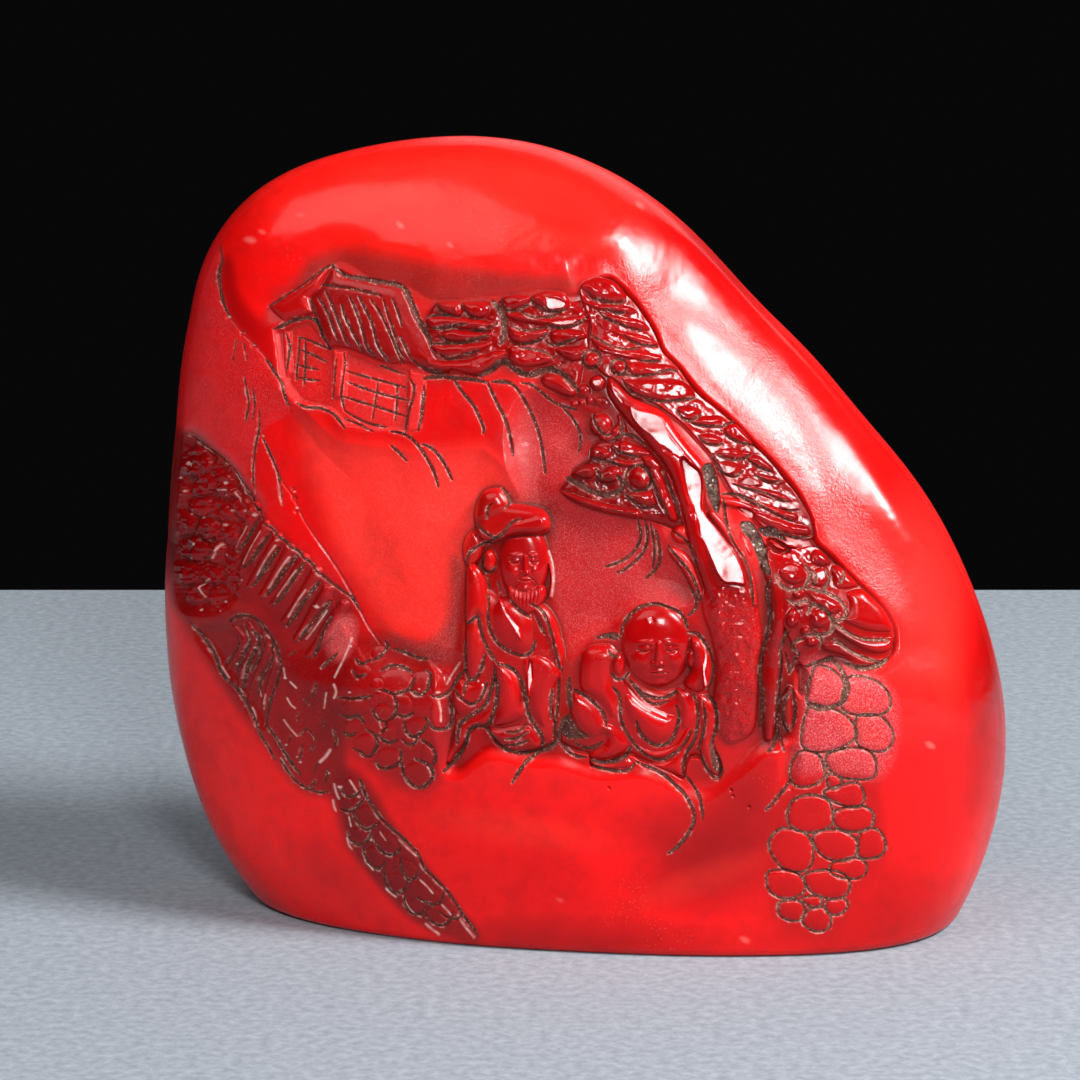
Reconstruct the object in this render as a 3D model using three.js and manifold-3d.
// Freeform carved stone seal: one red stone with a flat seal face below, a shallow landscape
// carved over its front (hut, pine, two seated figures, steps, stream, rock scales), and brown
// and grey paste packed into the carved lines. Millimetres, +Z up, +X to the right of the front,
// +Y to the back, origin at the middle of the seal face.
import * as THREE from "three";
import { mergeVertices } from "three/addons/utils/BufferGeometryUtils.js";
import Module from "manifold-3d";

const wasm = await Module();
wasm.setup();

// ---- driving dimensions (mm) ----
const UNIT = 0.1043; // one step of the front drawing
const VIEW_TILT = 12; // degrees the drawing plane leans back from upright
const VIEW_DISTANCE = 450; // distance the drawing is thrown from
const MIDDLE_X = 0.435; // moves the outline so that the origin is the middle of the box
const MIDDLE_Y = 0.69;
const OUTLINE_Z = 38; // height the outline radii are measured about
const FRONT_BULGE = 21.6; // how far the front stands out at its fullest
const BACK_BULGE = 22.0;
const RIM_ROUND = 17; // rounding between the outline and the faces
const FACE_ROUND = 5; // rounding of the edge between the front and the left facet
const BACK_ROUND = 14;
const STONE_TURNS = 36; // facets around
const STONE_RISES = 24; // facets from base to crown
const CUT_FLOOR = 3.2; // how deep the raised shapes are rooted in the stone
const LINE_PASTE = 0.6; // width of the paste in a fine line
const LINE_DEPTH = 0.75; // depth of the paste under the surface
const PASTE_SINK = 0.06; // how far the paste lies under the surface
const SHOULDER = 0.7; // how far in the rounded shoulder of a raised shape lies
const STAND_OUT = 1.4; // how strongly the raised shapes stand out
const CORNER_SLACK = 3.3; // corners nearer than this to a straight edge are left out
const RIM_DROP = 0.45; // how far the rim of a raised shape starts under the surface
const SLIVER = 0.03; // edges of cut stone finer than this are smoothed away
const GAP = 0.3; // gap between paste and stone
const CLEAR = 1.0; // how far a line cutter stands clear of the surface
const FIELD_CLEAR = 2.4; // how far a field cutter stands clear of the surface

// outline radii about the middle, as a smooth closed curve
const OUTLINE = [48.187, -7.512, -6.079, -2.242, -7.392, 1.235, 0.332, -0.912, 0.007, 0.316, -0.344, -0.549, 0.457, 0.076, -0.026, 0.443, 0.002, -0.206, -0.211, -0.09, 0.069, 0.028, 0.151];
// the left facet: height, where its edge runs, and its turn from the front
const FACET_Z = [-10, 0, 8, 16, 27, 38, 50, 62, 72, 80, 90];
const FACET_X = [-5, -10.5, -16, -21.5, -25.8, -27.6, -30.5, -34, -38, -42, -46];
const FACET_TURN = [13, 15, 21, 29, 38, 43, 46, 47, 46, 44, 40];

// ---- the body of the stone as a rounded shape ----
const rad = (d) => (d * Math.PI) / 180;
const lerpTable = (z, xs, ys) => {
  if (z <= xs[0]) return ys[0];
  for (let i = 1; i < xs.length; i++)
    if (z <= xs[i]) return ys[i - 1] + ((ys[i] - ys[i - 1]) * (z - xs[i - 1])) / (xs[i] - xs[i - 1]);
  return ys[ys.length - 1];
};
const blend = (a, b, k) => {
  const h = Math.max(k - Math.abs(a - b), 0);
  return Math.max(a, b) + (h * h) / (4 * k);
};
const frontAt = (x, z) => {
  const dz = z - 22;
  return FRONT_BULGE - 0.003 * (x - 16) ** 2 - (dz > 0 ? 0.0039 : 0.0012) * dz * dz;
};
const backAt = (x, z) => BACK_BULGE - 0.0035 * x * x - (z > 22 ? 0.0038 : 0.0012) * (z - 22) ** 2;
const outlineAt = (phi) => {
  let r = OUTLINE[0];
  for (let k = 1; 2 * k < OUTLINE.length; k++)
    r += OUTLINE[2 * k - 1] * Math.cos(k * phi) + OUTLINE[2 * k] * Math.sin(k * phi);
  return r;
};
function body(px, py, z) {
  const x = px - MIDDLE_X,
    y = py - MIDDLE_Y;
  const go = Math.hypot(x, z - OUTLINE_Z) - outlineAt(Math.atan2(z - OUTLINE_Z, x));
  const xc = lerpTable(z, FACET_Z, FACET_X),
    a = rad(lerpTable(z, FACET_Z, FACET_TURN));
  const gl = -(x - xc) * Math.sin(a) - (y + frontAt(xc, z)) * Math.cos(a);
  let g = blend(-y - frontAt(x, z), gl, FACE_ROUND);
  g = blend(g, y - backAt(x, z), BACK_ROUND);
  return blend(g, go, RIM_ROUND);
}
const skinNormal = (p) => {
  const e = 0.05;
  return new THREE.Vector3(
    body(p.x + e, p.y, p.z) - body(p.x - e, p.y, p.z),
    body(p.x, p.y + e, p.z) - body(p.x, p.y - e, p.z),
    body(p.x, p.y, p.z + e) - body(p.x, p.y, p.z - e),
  ).normalize();
};

// ---- the front drawing thrown onto the stone ----
const LOOK = new THREE.Vector3(0, Math.cos(rad(VIEW_TILT)), -Math.sin(rad(VIEW_TILT)));
const RISE = new THREE.Vector3(0, Math.sin(rad(VIEW_TILT)), Math.cos(rad(VIEW_TILT)));
const DRAW_MIDDLE = new THREE.Vector3(-4.8 + MIDDLE_X, MIDDLE_Y, 38.9);
const EYE = DRAW_MIDDLE.clone().addScaledVector(LOOK, -VIEW_DISTANCE);
const rayOf = ([u, v]) =>
  LOOK.clone()
    .addScaledVector(new THREE.Vector3(1, 0, 0), ((u - 540) * UNIT) / VIEW_DISTANCE)
    .addScaledVector(RISE, (-(v - 540) * UNIT) / VIEW_DISTANCE);
function onSkin(uv) {
  const d = rayOf(uv);
  let a = VIEW_DISTANCE - 45,
    b = a;
  const inside = (t) => body(EYE.x + d.x * t, EYE.y + d.y * t, EYE.z + d.z * t) < 0;
  while (!inside(b)) {
    b += 1;
    if (b > VIEW_DISTANCE + 60) throw new Error("drawing point off the stone " + uv);
  }
  a = b - 1;
  for (let i = 0; i < 30; i++) {
    const m = (a + b) / 2;
    if (inside(m)) b = m;
    else a = m;
  }
  const p = EYE.clone().addScaledVector(d, (a + b) / 2);
  return { p, n: skinNormal(p) };
}
const lift = (s, level) => s.p.clone().addScaledVector(s.n, level);

// ---- solids ----
function geometryOf(points, triangles) {
  const g = new THREE.BufferGeometry();
  const flat = new Float32Array(points.length * 3);
  points.forEach((p, i) => flat.set([p.x, p.y, p.z], i * 3));
  g.setAttribute("position", new THREE.BufferAttribute(flat, 3));
  g.setIndex(triangles.flat());
  return g;
}
function solid(geometry) {
  const g = geometry.clone();
  g.deleteAttribute("normal");
  g.deleteAttribute("uv");
  const m = mergeVertices(g, 1e-4);
  let s = new wasm.Manifold(
    new wasm.Mesh({ numProp: 3, vertProperties: new Float32Array(m.attributes.position.array), triVerts: new Uint32Array(m.index.array) }),
  );
  return s;
}
function back(manifold) {
  const m = manifold.getMesh();
  const v = new Float32Array(m.numVert * 3);
  for (let i = 0; i < m.numVert; i++) v.set(m.vertProperties.subarray(i * m.numProp, i * m.numProp + 3), i * 3);
  return new THREE.BufferGeometry()
    .setAttribute("position", new THREE.BufferAttribute(v, 3))
    .setIndex(new THREE.BufferAttribute(new Uint32Array(m.triVerts), 1));
}

// the bare stone, run on below the seal face and then cut flat
function bareStone() {
  const g = mergeVertices(
    (() => {
      const s = new THREE.SphereGeometry(1, STONE_TURNS, STONE_RISES).rotateX(Math.PI / 2);
      s.deleteAttribute("normal");
      s.deleteAttribute("uv");
      return s;
    })(),
    1e-5,
  );
  const pos = g.attributes.position;
  const middle = new THREE.Vector3(MIDDLE_X, MIDDLE_Y, 36);
  for (let i = 0; i < pos.count; i++) {
    const d = new THREE.Vector3().fromBufferAttribute(pos, i).normalize();
    let a = 0,
      b = 95;
    for (let k = 0; k < 40; k++) {
      const m = (a + b) / 2;
      if (body(middle.x + d.x * m, middle.y + d.y * m, middle.z + d.z * m) < 0) a = m;
      else b = m;
    }
    pos.setXYZ(i, middle.x + d.x * a, middle.y + d.y * a, middle.z + d.z * a);
  }
  const under = new THREE.BoxGeometry(140, 140, 60).translate(0, 0, -30);
  return solid(g).subtract(solid(under));
}

// an outline without the corners that lie almost on a straight edge
function fewerCorners(outline) {
  const o = [...outline];
  for (;;) {
    let best = -1,
      least = CORNER_SLACK;
    if (o.length <= 5) return o;
    o.forEach((p, i) => {
      const a = o[(i + o.length - 1) % o.length],
        b = o[(i + 1) % o.length];
      const l = Math.hypot(b[0] - a[0], b[1] - a[1]);
      const off = Math.abs((b[0] - a[0]) * (a[1] - p[1]) - (a[0] - p[0]) * (b[1] - a[1])) / l;
      if (off < least) [best, least] = [i, off];
    });
    if (best < 0) return o;
    o.splice(best, 1);
  }
}
// a raised cushion over an outline, or a dish when the crown lies under the rim
function cushion(drawn, rim, crown, floor = -CUT_FLOOR) {
  const outline = fewerCorners(drawn);
  const n = outline.length;
  const c = [outline.reduce((s, p) => s + p[0], 0) / n, outline.reduce((s, p) => s + p[1], 0) / n];
  let turn = 0;
  outline.forEach((p, i) => {
    const q = outline[(i + 1) % n];
    turn += p[0] * q[1] - q[0] * p[1];
  });
  const loop = turn > 0 ? outline : [...outline].reverse();
  const mid = loop.map((p) => [c[0] + (p[0] - c[0]) * SHOULDER, c[1] + (p[1] - c[1]) * SHOULDER]);
  const rimS = loop.map(onSkin),
    midS = mid.map(onSkin),
    cS = onSkin(c);
  const pts = [
    ...rimS.map((s) => lift(s, rim)),
    ...midS.map((s) => lift(s, rim + (crown - rim) * 0.88)),
    ...rimS.map((s) => lift(s, floor)),
    lift(cS, crown),
    lift(cS, floor),
  ];
  const tri = [];
  for (let i = 0; i < n; i++) {
    const j = (i + 1) % n;
    tri.push([i, n + i, n + j], [i, n + j, j], [n + i, 3 * n, n + j]);
    tri.push([2 * n + i, i, j], [2 * n + i, j, 2 * n + j], [2 * n + j, 3 * n + 1, 2 * n + i]);
  }
  let g = geometryOf(pts, tri);
  let s = solid(g);
  if (s.volume() < 0) s = solid(geometryOf(pts, tri.map((t) => [t[0], t[2], t[1]])));
  return s;
}
const circle = (u, v, r, n = 8, squash = 1) =>
  Array.from({ length: n }, (_, i) => [u + r * Math.cos((i * 2 * Math.PI) / n), v + r * squash * Math.sin((i * 2 * Math.PI) / n)]);

// a sunk field with upright edges
function sunk(outline, depth) {
  let turn = 0;
  outline.forEach((p, i) => {
    const q = outline[(i + 1) % outline.length];
    turn += p[0] * q[1] - q[0] * p[1];
  });
  const loop = turn > 0 ? [...outline].reverse() : outline;
  const n = loop.length;
  const S = loop.map(onSkin);
  const pts = [...S.map((s) => lift(s, FIELD_CLEAR)), ...S.map((s) => lift(s, -depth))];
  const caps = THREE.ShapeUtils.triangulateShape(loop.map((p) => new THREE.Vector2(p[0], p[1])), []);
  const tri = [];
  for (const [a, b, c] of caps) tri.push([a, b, c], [n + a, n + c, n + b]);
  for (let i = 0; i < n; i++) {
    const j = (i + 1) % n;
    tri.push([i, n + i, n + j], [i, n + j, j]);
  }
  let s;
  try {
    s = solid(geometryOf(pts, tri));
  } catch (e) {
    s = solid(geometryOf(pts, tri.map((t, i) => (i < caps.length * 2 ? [t[0], t[2], t[1]] : t))));
  }
  if (s.volume() < 0) {
    const m = back(s);
    const ix = m.index.array;
    for (let i = 0; i < ix.length; i += 3) [ix[i + 1], ix[i + 2]] = [ix[i + 2], ix[i + 1]];
    s = solid(m);
  }
  return s;
}

// a rounded ridge along a line: [u, v, width] per point
function ridge(line, rim, crown) {
  const S = line.map((q, i) => {
    const a = line[Math.max(i - 1, 0)],
      b = line[Math.min(i + 1, line.length - 1)];
    const l = Math.hypot(b[0] - a[0], b[1] - a[1]);
    const nx = -(b[1] - a[1]) / l,
      ny = (b[0] - a[0]) / l,
      h = q[2] / 2;
    return [-1, -0.55, 0, 0.55, 1].map((k) => onSkin([q[0] + nx * h * k, q[1] + ny * h * k]));
  });
  const up = [rim, rim + (crown - rim) * 0.75, crown, rim + (crown - rim) * 0.75, rim];
  const pts = [];
  for (const s of S) {
    for (let k = 0; k < 5; k++) pts.push(lift(s[k], up[k]));
    pts.push(lift(s[4], -CUT_FLOOR), lift(s[0], -CUT_FLOOR));
  }
  return sweepSolid(pts, S.length, 7);
}
// joins rings of points into one closed body
function sweepSolid(pts, rings, m) {
  const tri = [];
  for (let i = 0; i + 1 < rings; i++)
    for (let k = 0; k < m; k++) {
      const a = i * m + k,
        b = i * m + ((k + 1) % m);
      tri.push([a, b, b + m], [a, b + m, a + m]);
    }
  const e = (rings - 1) * m;
  for (let k = 1; k + 1 < m; k++) tri.push([0, k + 1, k], [e, e + k, e + k + 1]);
  let s = solid(geometryOf(pts, tri));
  if (s.volume() < 0) s = solid(geometryOf(pts, tri.map((t) => [t[0], t[2], t[1]])));
  return s;
}

// ---- carved shapes of the front, as outlines on the drawing ----
const SUNK_FIELDS = [
  [[[545, 400], [562, 406], [578, 413], [592, 421], [600, 434], [592, 446], [588, 458], [578, 467], [568, 477], [560, 488], [566, 496], [578, 504], [600, 513], [635, 519], [648, 522], [657, 540], [665, 555], [684, 566], [696, 585], [690, 598], [665, 603], [640, 606], [622, 622], [612, 632], [590, 640], [572, 650], [560, 640], [552, 615], [548, 590], [550, 560], [546, 535], [543, 512], [550, 490], [552, 466], [540, 430]], 1.6],
  [[[278, 325], [312, 317], [330, 347], [366, 357], [415, 367], [424, 384], [418, 434], [385, 430], [340, 422], [294, 404], [286, 380]], 0.9],
];
const DISHES = [
  [[[292, 406], [342, 426], [388, 434], [432, 420], [470, 418], [520, 440], [548, 480], [535, 500], [470, 500], [462, 545], [458, 610], [452, 646], [420, 660], [388, 650], [352, 608], [322, 556], [300, 480]], 0.5, -1.7],
  [[[640, 292], [668, 322], [700, 362], [740, 402], [780, 442], [815, 485], [838, 540], [822, 540], [800, 486], [760, 440], [700, 385], [660, 330]], 0.8, -0.9],
];
const CUSHIONS = [
  // hut
  [[[321, 285], [335, 287], [358, 291], [381, 297], [393, 300], [404, 330], [414, 357], [405, 362], [387, 361], [366, 357], [345, 350], [328, 347], [318, 331], [309, 299]], 0.2, 0.7],
  [[[266, 306], [300, 285], [330, 264], [319, 290], [308, 298], [312, 312], [295, 316], [280, 320], [273, 313]], 0.1, 0.6],
  [[[321, 270], [332, 262], [350, 276], [380, 281], [402, 287], [411, 303], [402, 306], [392, 297], [372, 291], [350, 286], [325, 282]], 0.3, 1.0],
  // pine, left spray: two pads and the needle tufts on them
  [[[425, 303], [458, 301], [489, 302], [494, 322], [490, 342], [500, 358], [480, 372], [445, 368], [425, 356], [429, 328]], 0, 0.4],
  [[[503, 297], [530, 294], [562, 291], [570, 303], [588, 318], [585, 338], [575, 355], [552, 364], [520, 366], [507, 350], [508, 322]], 0, 0.4],
  [[[436, 301], [458, 301], [463, 309], [458, 316], [446, 314], [438, 309]], 0, 0.8],
  [[[462, 302], [484, 301], [489, 310], [482, 317], [470, 316], [464, 309]], 0, 0.8],
  [[[530, 297], [545, 290], [562, 291], [569, 300], [565, 308], [550, 310], [536, 305]], 0, 0.8],
  [[[430, 347], [445, 345], [470, 345], [492, 344], [482, 352], [462, 357], [446, 358], [436, 354]], 0, 0.8],
  [[[535, 379], [550, 374], [565, 380], [575, 390], [570, 400], [560, 404], [546, 396]], -0.6, 0.8],
  // pine, crown and right spray: four pads and the needle tufts on them
  [[[580, 285], [606, 275], [629, 290], [655, 320], [667, 344], [660, 358], [625, 357], [590, 350], [584, 312]], 0, 0.4],
  [[[620, 380], [645, 362], [686, 366], [700, 393], [680, 400], [640, 397]], 0, 0.5],
  [[[678, 406], [706, 404], [740, 414], [762, 439], [782, 462], [760, 470], [722, 474], [708, 455], [694, 430]], 0, 0.4],
  [[[736, 482], [795, 476], [806, 500], [816, 530], [790, 532], [756, 514]], 0, 0.5],
  [[[580, 285], [592, 277], [606, 275], [618, 279], [629, 290], [625, 297], [606, 299], [590, 294]], 0, 0.9],
  [[[590, 338], [612, 344], [640, 349], [667, 351], [660, 358], [630, 357], [602, 350]], 0, 0.9],
  [[[728, 425], [742, 416], [758, 432], [760, 439], [746, 438], [734, 433]], 0, 0.8],
  [[[722, 461], [740, 461], [746, 469], [736, 476], [725, 472]], 0, 0.8],
  [[[754, 512], [776, 517], [800, 522], [816, 523], [815, 532], [796, 532], [771, 526]], 0, 0.9],
  // branch knots under the pine
  [[[572, 472], [580, 465], [592, 461], [610, 461], [618, 468], [617, 480], [609, 485], [595, 483], [580, 478]], -0.6, 0.8],
  [circle(638, 478, 13), -0.4, 0.9],
  [[[622, 494], [635, 490], [650, 490], [657, 498], [655, 507], [642, 508], [629, 502]], -0.5, 0.6],
  [circle(604, 425, 10), -0.6, 0.7],
  [circle(591, 358, 8, 6), 0.2, 0.8],
  [circle(618, 366, 7, 6), 0.2, 0.8],
  [[[670, 530], [690, 540], [698, 556], [700, 575], [692, 578], [682, 564], [672, 548]], -0.5, 0.6],
  // right fan and berries
  [[[775, 573], [785, 563], [797, 562], [808, 567], [812, 575], [807, 585], [795, 590], [783, 587]], 0, 0.9],
  [[[815, 557], [825, 549], [835, 554], [840, 562], [833, 567], [820, 566]], 0, 0.7],
  [[[822, 569], [838, 568], [852, 572], [864, 584], [856, 589], [840, 590], [830, 583]], 0, 0.7],
  [[[806, 591], [825, 594], [841, 602], [848, 610], [846, 617], [838, 621], [825, 613], [812, 601]], 0, 0.8],
  [[[846, 594], [868, 591], [884, 603], [895, 618], [897, 634], [880, 639], [860, 635], [849, 624], [853, 609]], 0, 0.9],
  [[[841, 638], [860, 642], [885, 643], [896, 646], [889, 656], [870, 657], [853, 650]], 0, 0.8],
  [[[830, 645], [848, 655], [866, 662], [860, 666], [840, 660], [822, 662], [811, 660], [820, 652]], 0, 0.7],
  [circle(800, 597, 8, 6), 0.1, 0.9],
  [circle(795, 621, 11), 0.1, 1.0],
  [circle(820, 622, 12), 0.1, 1.1],
  [circle(812, 645, 8, 6), 0.1, 0.8],
  // right rock scales
  [[[815, 670], [830, 670], [842, 679], [845, 691], [839, 703], [827, 708], [812, 705], [807, 697]], 0, 0.6],
  [[[849, 680], [870, 680], [885, 689], [890, 703], [885, 712], [870, 715], [852, 713], [843, 706]], 0, 0.6],
  [[[810, 708], [827, 710], [842, 715], [853, 726], [855, 737], [845, 745], [827, 750], [810, 750], [802, 740]], 0, 0.7],
  [[[858, 719], [879, 718], [890, 729], [892, 740], [884, 750], [870, 750], [858, 742]], 0, 0.6],
  [[[803, 753], [817, 757], [823, 768], [823, 778], [812, 785], [796, 785], [791, 774], [794, 763]], 0, 0.6],
  [[[828, 757], [851, 750], [869, 754], [875, 765], [872, 777], [857, 779], [840, 776], [829, 768]], 0, 0.6],
  [[[840, 787], [857, 785], [863, 795], [860, 805], [847, 806], [831, 800], [826, 793]], 0, 0.5],
  [[[794, 802], [809, 797], [826, 802], [832, 814], [829, 826], [812, 832], [794, 828], [788, 817]], 0, 0.6],
  [[[837, 812], [860, 808], [872, 815], [870, 826], [857, 831], [840, 828], [834, 820]], 0, 0.5],
  [[[782, 831], [801, 834], [811, 845], [811, 862], [801, 871], [785, 868], [773, 856], [770, 842]], 0, 0.6],
  [[[816, 835], [839, 832], [855, 841], [856, 853], [845, 860], [828, 858], [816, 847]], 0, 0.5],
  [[[862, 833], [876, 831], [884, 842], [881, 854], [867, 858], [858, 852]], 0, 0.5],
  [[[770, 874], [784, 872], [798, 877], [804, 887], [798, 895], [784, 898], [771, 891], [767, 881]], 0, 0.5],
  [[[806, 877], [827, 872], [844, 877], [849, 887], [841, 897], [824, 897], [810, 890]], 0, 0.5],
  [[[810, 911], [824, 909], [830, 919], [826, 929], [812, 930], [803, 921]], 0, 0.4],
  // centre rock scales
  [[[378, 690], [380, 674], [395, 668], [408, 674], [411, 683], [405, 691], [393, 694]], 0, 0.6],
  [[[412, 678], [424, 675], [427, 685], [423, 694], [414, 694], [409, 688]], 0, 0.6],
  [[[380, 697], [391, 697], [395, 704], [394, 713], [386, 721], [376, 716], [372, 706]], 0, 0.6],
  [[[398, 697], [414, 698], [420, 705], [413, 713], [403, 716], [397, 711]], 0, 0.5],
  [[[430, 700], [445, 698], [449, 712], [447, 727], [438, 730], [430, 724]], 0, 0.6],
  [[[406, 720], [424, 719], [426, 727], [420, 733], [412, 736], [406, 730]], 0, 0.5],
  [[[345, 738], [364, 730], [374, 737], [375, 749], [367, 755], [356, 752]], 0, 0.5],
  [[[379, 745], [398, 744], [400, 754], [397, 764], [386, 768], [378, 762]], 0, 0.5],
  [[[404, 762], [416, 760], [428, 767], [432, 776], [426, 785], [416, 786], [407, 778]], 0, 0.6],
  [[[352, 650], [370, 648], [380, 651], [374, 659], [360, 664], [353, 660]], 0, 0.5],
  // scales along the left edge
  [[[343, 780], [352, 776], [360, 790], [355, 796], [346, 796], [340, 789]], 0, 0.5],
  [[[357, 809], [368, 806], [377, 818], [375, 825], [366, 829], [358, 824], [354, 816]], 0, 0.5],
  [[[376, 836], [383, 832], [394, 839], [397, 850], [390, 855], [380, 851], [375, 843]], 0, 0.5],
  [[[401, 860], [410, 862], [417, 870], [413, 877], [406, 879], [401, 871]], 0, 0.4],
  [[[388, 875], [397, 874], [404, 881], [403, 889], [396, 892], [389, 887]], 0, 0.4],
  [[[409, 887], [420, 882], [434, 889], [440, 898], [435, 904], [420, 902], [409, 896]], 0, 0.4],
  // lumps on the far left
  [circle(192, 466, 13, 7), -0.2, 0.25],
  [circle(194, 508, 12, 7), -0.2, 0.25],
  [circle(228, 512, 12, 7), -0.2, 0.25],
  [circle(205, 535, 12, 7), -0.2, 0.25],
  [circle(212, 572, 12, 7), -0.2, 0.25],
  // stream crest
  [[[226, 640], [236, 620], [250, 618], [264, 630], [274, 650], [277, 670], [268, 700], [262, 724], [246, 700], [232, 676]], 0, 0.7],
  // sage: robe, sleeve, belly, knee, hood, cap, head, ear, beard, brow, nose
  [[[466, 570], [482, 560], [497, 580], [516, 602], [541, 608], [556, 640], [565, 655], [561, 690], [556, 725], [546, 748], [520, 752], [495, 742], [484, 720], [470, 690], [465, 640]], -0.8, 0.8],
  [[[467, 626], [478, 619], [486, 650], [484, 680], [474, 688], [466, 664]], 0, 1.1],
  [[[497, 612], [511, 603], [527, 614], [534, 632], [531, 648], [518, 655], [504, 650], [496, 634]], 0.6, 1.2],
  [[[495, 686], [504, 671], [515, 677], [521, 700], [527, 722], [526, 743], [509, 749], [494, 738], [488, 726]], 0.3, 1.1],
  [[[462, 548], [468, 533], [478, 536], [483, 546], [476, 560], [467, 566]], -0.8, 0.7],
  [circle(524, 556, 27, 12, 1.62), -0.8, 1.1],
  [[[475, 521], [477, 504], [484, 492], [494, 489], [505, 496], [512, 505], [528, 506], [541, 511], [540, 522], [524, 518], [512, 522], [502, 532], [490, 538], [480, 532]], -0.4, 1.1],
  [[[482, 553], [489, 549], [494, 556], [492, 567], [486, 571], [481, 564]], 0, 1.0],
  [[[505, 572], [525, 566], [545, 572], [548, 586], [538, 600], [526, 606], [512, 594]], 0.6, 1.2],
  [[[505, 541], [524, 536], [543, 541], [540, 548], [524, 545], [508, 548]], 1.0, 1.25],
  [[[519, 546], [529, 546], [533, 562], [524, 567], [515, 562]], 1.2, 1.5],
  // monk: left sleeve, knee, belly, right arm, robe tail, feet, head, ears, brow, nose, chin
  [[[582, 655], [596, 645], [609, 655], [612, 690], [618, 720], [624, 745], [613, 759], [597, 760], [602, 738], [606, 716], [590, 696], [580, 682]], -0.6, 1.1],
  [[[573, 702], [588, 702], [601, 714], [604, 730], [595, 741], [581, 737], [573, 720]], 0.2, 1.0],
  [[[628, 684], [645, 697], [665, 697], [684, 702], [689, 725], [679, 748], [655, 758], [637, 745], [623, 725], [620, 698]], -0.4, 1.1],
  [[[690, 642], [702, 644], [710, 657], [712, 676], [705, 692], [715, 706], [719, 725], [714, 745], [717, 768], [708, 776], [700, 758], [697, 733], [694, 700], [691, 670]], -0.4, 1.1],
  [[[682, 764], [695, 778], [701, 800], [701, 816], [695, 812], [692, 798], [684, 784]], 0, 0.6],
  [[[594, 763], [614, 759], [631, 753], [635, 764], [628, 770], [606, 768]], 0, 0.8],
  [circle(656, 648, 36, 12, 1.17), -0.8, 1.25],
  [[[611, 668], [617, 661], [624, 667], [622, 675], [615, 676]], 0, 1.2],
  [circle(691, 660, 7, 6), 0, 1.0],
  [[[633, 641], [656, 636], [679, 641], [675, 649], [656, 645], [637, 649]], 1.2, 1.45],
  [[[650, 647], [662, 647], [667, 663], [656, 669], [645, 663]], 1.4, 1.7],
  [[[641, 676], [656, 673], [671, 676], [666, 687], [656, 690], [646, 687]], 0.9, 1.4],
];
const RIDGES = [
  // trunk with its root, and the branch that crosses in front of the sunk ground
  [[[612, 386, 16], [632, 411, 24], [655, 436, 30], [678, 458, 34], [690, 482, 36], [698, 508, 34], [708, 534, 36], [719, 556, 40], [728, 580, 44], [735, 606, 48], [739, 640, 50], [744, 680, 48], [750, 725, 40]], -0.3, 1.3],
  [[[566, 492, 14], [590, 503, 18], [620, 509, 20], [650, 512, 22], [676, 518, 22]], -0.9, 0.5],
  [[[646, 464, 16], [657, 486, 18], [668, 510, 18], [676, 532, 14]], -0.4, 0.8],
  // roots
  [[[770, 590, 12], [766, 630, 13], [763, 680, 14], [766, 735, 10]], 0, 0.7],
  [[[789, 690, 12], [787, 712, 14], [790, 732, 10]], 0, 0.6],
];

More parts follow.
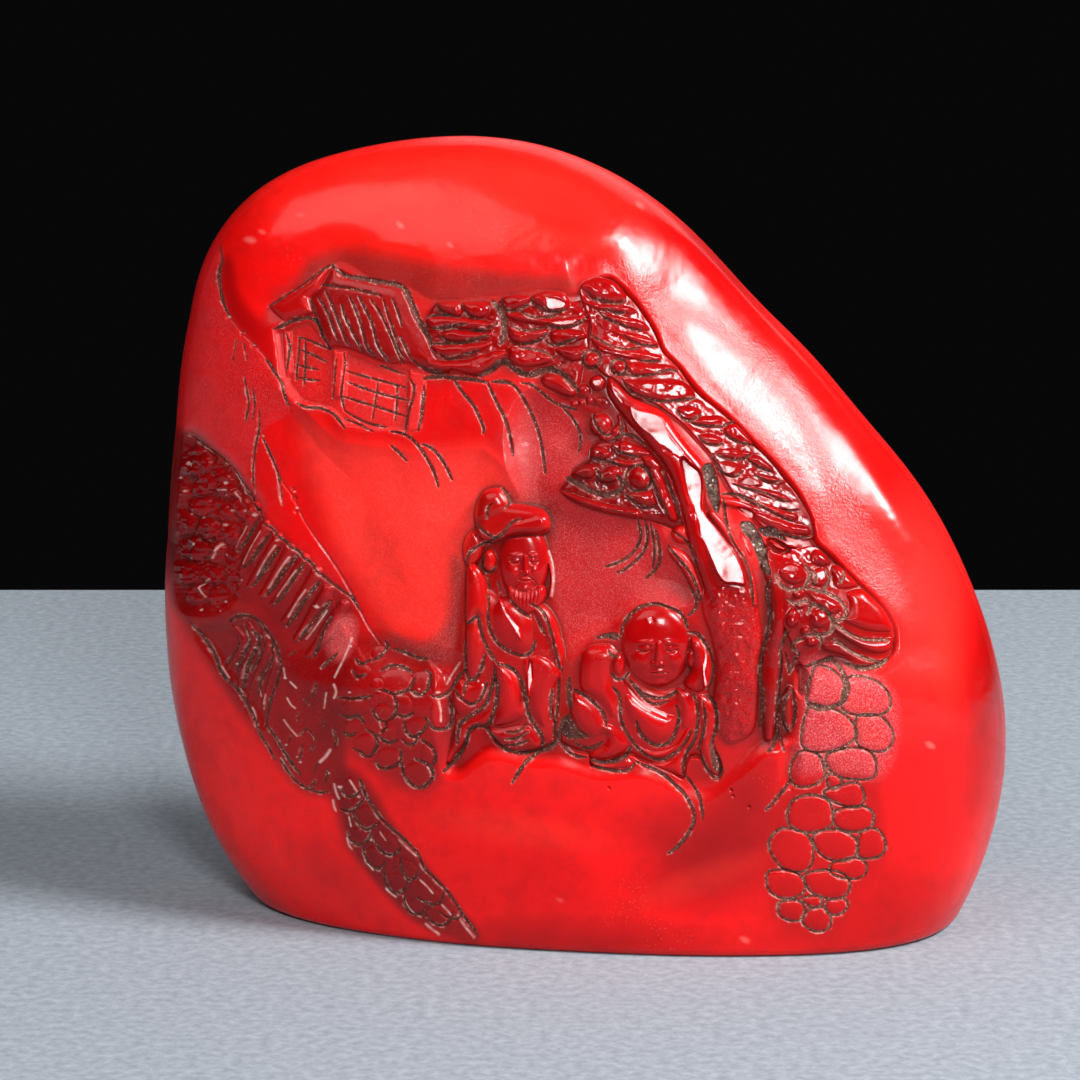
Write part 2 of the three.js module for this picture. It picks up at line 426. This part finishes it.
// ---- paste, as lines on the drawing; the lines of one deposit meet ----
const PASTE = {
  roof_ridge_paste: { lines: [[[331, 265], [350, 277], [380, 282], [402, 288], [410, 304], [422, 328], [430, 346]]] },
  roof_thatch_paste: { lines: [[[321, 284], [350, 288], [381, 296]], [[335, 286], [331, 304], [346, 344]], [[358, 290], [366, 312], [377, 345]], [[381, 296], [389, 320], [400, 352]]] },
  eave_paste: { lines: [[[272, 329], [290, 320], [308, 317], [318, 331], [326, 345]]] },
  window_lattice_paste: { lines: [[[293, 336], [304, 340], [313, 344]], [[294, 337], [292, 358], [290, 380]], [[292, 356], [320, 362]], [[290, 379], [314, 381]]] },
  wall_lattice_paste: { lines: [[[341, 358], [340, 378], [338, 408]], [[340, 376], [383, 384], [400, 388]], [[339, 392], [382, 402], [398, 406]], [[338, 408], [366, 416], [384, 421]]] },
  right_post_paste: { lines: [[[412, 384], [410, 404], [405, 426]]] },
  ledge_paste: { lines: [[[293, 405], [315, 410], [334, 422]]] },
  grass_paste: { lines: [[[396, 440], [414, 447], [427, 464], [434, 486]]] },
  needle_fringe_paste: { lines: [[[423, 377], [446, 376], [470, 377], [490, 380], [508, 384]], [[452, 378], [466, 402], [482, 432]], [[486, 381], [500, 412], [510, 452]], [[508, 384], [526, 408], [542, 470]]] },
  pine_left_paste: { lines: [[[440, 336], [460, 343], [488, 336]]] },
  pine_gap_paste: { lines: [[[492, 301], [499, 312], [502, 326], [499, 342]]], wide: 1.5 },
  pine_middle_paste: { lines: [[[511, 341], [524, 344], [538, 340], [548, 332]]] },
  pine_crown_paste: { lines: [[[590, 294], [606, 300], [627, 297]]] },
  pine_right_upper_paste: { lines: [[[626, 386], [642, 397], [670, 400], [700, 394]]] },
  pine_right_middle_paste: { lines: [[[728, 427], [746, 439], [761, 440]]] },
  pine_right_lower_paste: { lines: [[[735, 482], [768, 490], [797, 499]]] },
  trunk_hollow_deposit: { lines: [[[709, 466], [714, 484], [717, 508]]], wide: 1.7 },
  fork_hollow_deposit: { lines: [[[746, 525], [757, 542], [764, 560]], [[754, 536], [772, 531], [788, 538]]], wide: 1.6 },
  trunk_bark_paste: { lines: [[[733, 512], [735, 534], [743, 556], [752, 584], [754, 604]]] },
  branch_undercut_paste: { lines: [[[570, 480], [590, 490], [610, 493], [621, 484]]], wide: 1.4 },
  twig_paste: { lines: [[[641, 521], [642, 534], [637, 550], [624, 562], [606, 569]], [[642, 534], [646, 552], [636, 566], [618, 575]], [[641, 527], [655, 544], [657, 564], [645, 580]]] },
  root_line_paste: { lines: [[[772, 582], [770, 604], [771, 622], [764, 652], [762, 684], [763, 726]]] },
  root_fork_paste: { lines: [[[786, 640], [782, 660], [780, 690], [778, 728]], [[778, 728], [771, 748]]] },
  fan_tongue_paste: { lines: [[[812, 590], [832, 594], [848, 606], [846, 619], [836, 622]]] },
  fan_ray_paste: { lines: [[[838, 627], [856, 637], [878, 641], [892, 640]]] },
  right_scale_upper_paste: { lines: [[[830, 668], [843, 678], [847, 692], [840, 704], [824, 709], [810, 706]], [[842, 703], [862, 716], [884, 714], [891, 702], [884, 688]]] },
  right_scale_middle_paste: { lines: [[[846, 722], [856, 736], [844, 747], [826, 753], [808, 752]], [[826, 753], [826, 774], [812, 787], [794, 787]]] },
  right_scale_lower_paste: { lines: [[[788, 826], [812, 833], [830, 829], [834, 812]], [[812, 833], [826, 857], [848, 862], [858, 848]], [[826, 857], [812, 868], [796, 874]]] },
  right_scale_foot_paste: { lines: [[[768, 886], [780, 899], [798, 898], [806, 886]], [[806, 886], [824, 899], [842, 900], [850, 888]]] },
  centre_scale_upper_paste: { lines: [[[379, 692], [394, 696], [407, 692], [412, 682]], [[394, 696], [397, 710], [388, 722]], [[407, 692], [418, 697], [427, 690]]] },
  centre_scale_lower_paste: { lines: [[[403, 760], [406, 776], [418, 788], [430, 782], [433, 770]], [[403, 760], [388, 769], [376, 763]]] },
  left_scale_paste: { lines: [[[350, 812], [358, 828], [371, 830], [378, 826]], [[371, 830], [373, 846], [386, 857], [398, 853]], [[386, 857], [385, 872], [388, 890]]] },
  sage_belly_paste: { lines: [[[490, 614], [495, 640], [508, 655], [524, 657], [536, 640]]] },
  sage_knee_paste: { lines: [[[496, 668], [512, 671], [522, 690], [528, 718], [540, 742]], [[496, 668], [494, 690], [480, 712], [462, 722], [457, 744]]] },
  sage_hem_paste: { lines: [[[488, 732], [502, 748], [520, 754], [538, 752], [522, 764], [512, 780]]] },
  monk_belly_paste: { lines: [[[636, 724], [644, 740], [660, 746], [674, 736], [678, 716]]] },
  monk_sleeve_paste: { lines: [[[612, 688], [618, 704], [620, 726], [632, 744], [644, 760]]] },
  monk_knee_paste: { lines: [[[576, 695], [592, 700], [605, 716], [606, 732]]] },
  monk_tail_paste: { lines: [[[642, 764], [668, 774], [688, 796], [693, 816], [686, 836], [672, 852]]] },
  monk_arm_paste: { lines: [[[716, 706], [720, 726], [714, 744], [719, 770]]] },
  steps_paste: { lines: [[[258, 516], [284, 541], [310, 566], [332, 598]], [[258, 516], [238, 550]], [[284, 541], [256, 584]], [[310, 566], [276, 604]], [[332, 598], [300, 640]]] },
  stream_paste: { lines: [[[240, 616], [256, 622], [270, 640], [280, 664], [274, 692], [266, 722]], [[256, 622], [258, 648], [244, 680]], [[270, 640], [268, 666], [256, 700]]] },
  cliff_line_paste: { lines: [[[220, 270], [224, 300], [240, 328], [262, 352]]] },
  upper_facet_paste: { lines: [[[254, 400], [262, 436], [274, 468], [281, 503]]] },
};

// ---- build ----
let stone = bareStone();
for (const [o, depth] of SUNK_FIELDS) stone = stone.subtract(sunk(o, depth));
for (const [o, rim, low] of DISHES) stone = stone.subtract(cushion(o, rim, low, FIELD_CLEAR));
for (const [o, rim, crown] of CUSHIONS) stone = stone.add(cushion(o, rim - RIM_DROP, crown * STAND_OUT));
for (const [l, rim, crown] of RIDGES) stone = stone.add(ridge(l, rim, crown));

// where a line of the drawing meets the carved surface
const carved = back(stone);
const hitMesh = new THREE.Mesh(carved, new THREE.MeshBasicMaterial({ side: THREE.DoubleSide }));
const caster = new THREE.Raycaster();
function onCarving(uv) {
  caster.set(EYE, rayOf(uv).normalize());
  const h = caster.intersectObject(hitMesh, false);
  const s = onSkin(uv);
  return h.length ? { p: h[0].point.clone(), n: s.n } : s;
}
// a pointed bar that follows a line: half width at its top, top and bottom levels, run past its ends
function bar(S, half, top, bottom, past) {
  const pts = [];
  S.forEach((s, i) => {
    const a = S[Math.max(i - 1, 0)].p,
      b = S[Math.min(i + 1, S.length - 1)].p;
    const along = b.clone().sub(a).normalize();
    const side = new THREE.Vector3().crossVectors(along, s.n).normalize();
    const up = new THREE.Vector3().crossVectors(side, along).normalize();
    const c = s.p.clone();
    if (i === 0) c.addScaledVector(along, -past);
    if (i === S.length - 1) c.addScaledVector(along, past);
    for (const [k, l] of [[-1, top], [1, top], [0, bottom]])
      pts.push(c.clone().addScaledVector(side, half * k).addScaledVector(up, l));
  });
  return sweepSolid(pts, S.length, 3);
}
const pastes = new Map();
for (const [name, { lines, wide = LINE_PASTE }] of Object.entries(PASTE)) {
  let fill = null;
  for (const l of lines) {
    const S = l.map(onCarving);
    const f = bar(S, wide / 2, -PASTE_SINK, -LINE_DEPTH, 0);
    fill = fill ? fill.add(f) : f;
    // the groove has the same flanks, set off by the gap
    const flank = wide / 2 / (LINE_DEPTH - PASTE_SINK);
    const root = LINE_DEPTH + (GAP * Math.hypot(1, flank)) / flank;
    stone = stone.subtract(bar(S, flank * (root + CLEAR), CLEAR, -root, GAP + 0.05));
  }
  pastes.set(name, fill.simplify(SLIVER));
}
// crumbs of stone left between crossing lines are dropped
stone = stone.simplify(SLIVER).decompose().sort((a, b) => b.volume() - a.volume())[0];

const group = new THREE.Group();
group.name = "stone_seal";
const red = new THREE.MeshStandardMaterial({ color: 0xc4262a, roughness: 0.35, metalness: 0 });
const brown = new THREE.MeshStandardMaterial({ color: 0x5c4632, roughness: 0.85, metalness: 0 });
const grey = new THREE.MeshStandardMaterial({ color: 0x8d7d70, roughness: 0.9, metalness: 0 });
const put = (name, manifold, material) => {
  const g = back(manifold);
  g.computeVertexNormals();
  const m = new THREE.Mesh(g, material);
  m.name = name;
  group.add(m);
};
put("seal_stone", stone, red);
for (const [name, fill] of pastes) put(name, fill, name.endsWith("deposit") ? grey : brown);

export default group;
